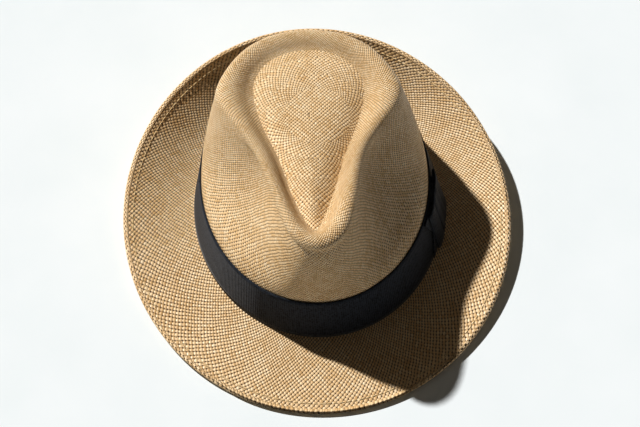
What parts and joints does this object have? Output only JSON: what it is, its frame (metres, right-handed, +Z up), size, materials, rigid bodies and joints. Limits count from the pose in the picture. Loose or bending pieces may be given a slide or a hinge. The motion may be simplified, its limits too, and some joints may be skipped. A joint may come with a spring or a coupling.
{
  "type": "panama hat",
  "caption": "Woven straw hat with a teardrop crown and two front pinches, a curled brim, a dark ribbon band with a flat side bow, and a leather sweatband inside.",
  "frame": {"origin": "on the table under the middle of the brim's outline; the hat stands upright on Z = 0", "axes": "+Z up, -Y towards the front of the hat, +X towards the wearer's left, the side with the bow; the brim is longest along Y"},
  "size_m": [0.2668, 0.2891, 0.104],
  "materials": {
    "straw": "hand-woven palm straw, tan, matt",
    "straw_thread": "pale sewing thread",
    "ribbon": "black ribbed grosgrain ribbon",
    "black_thread": "black sewing thread",
    "leather": "smooth brown leather",
    "lining_ribbon": "narrow brown ribbon"
  },
  "bodies": {
    "root": {"straw_body": "straw", "brim_hem": "straw", "hem_stitches": "straw_thread", "hat_band": "ribbon", "band_tacks": "black_thread", "bow_tail": "ribbon", "bow_loop": "ribbon", "bow_knot": "ribbon", "sweatband": "leather", "sweatband_reed": "leather", "sweatband_stitches": "straw_thread", "seam_tape": "leather", "rear_bow_loop": "lining_ribbon", "rear_bow_knot": "lining_ribbon"}
  },
  "joints": []
}
